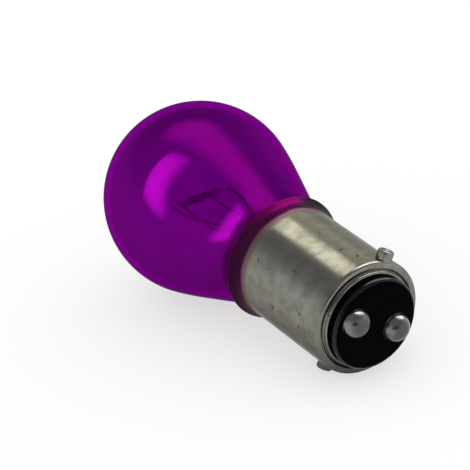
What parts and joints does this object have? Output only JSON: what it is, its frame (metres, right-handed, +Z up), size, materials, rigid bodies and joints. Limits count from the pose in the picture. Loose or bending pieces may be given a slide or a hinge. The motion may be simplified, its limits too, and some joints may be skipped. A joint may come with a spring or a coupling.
{
  "type": "car light bulb",
  "caption": "Purple lacquered globe bulb on a plated bayonet cap with offset pins, a flared lip and solder contacts in a black glass base, lying on its side.",
  "frame": {"origin": "on the floor, under the middle of the bulb's box, with the bulb lying on its globe, the rim of its cap and its far pin", "axes": "+Z up from the floor, +X along the lying bulb from the glass to the contacts, +Y across it"},
  "size_m": [0.0528, 0.0256, 0.0256],
  "materials": {
    "purple_glass": "transparent purple lacquer on clear glass, high gloss",
    "clear_glass": "clear drawn glass",
    "tungsten": "drawn tungsten wire, dark grey",
    "nickel_plate": "nickel plated brass, satin, lightly tarnished",
    "black_glass": "cast black glass, glossy",
    "brass": "plain brass",
    "solder": "soft solder, semi-bright with a dull skin",
    "cement": "baked basing cement, matt",
    "lead_wire": "nickel wire, satin"
  },
  "bodies": {
    "root": {"glass_envelope": "purple_glass", "glass_stem": "clear_glass", "exhaust_tube": "clear_glass", "glass_bead": "clear_glass", "major_filament": "tungsten", "minor_filament": "tungsten", "cap_shell": "nickel_plate", "near_bayonet_pin": "nickel_plate", "far_bayonet_pin": "nickel_plate", "insulator": "black_glass", "major_contact_eyelet": "brass", "minor_contact_eyelet": "brass", "major_solder_contact": "solder", "minor_solder_contact": "solder", "base_cement": "cement", "ground_solder": "solder", "major_lead_wire": "lead_wire", "minor_lead_wire": "lead_wire", "ground_wire": "lead_wire", "minor_bracket_wire": "lead_wire"}
  },
  "joints": []
}
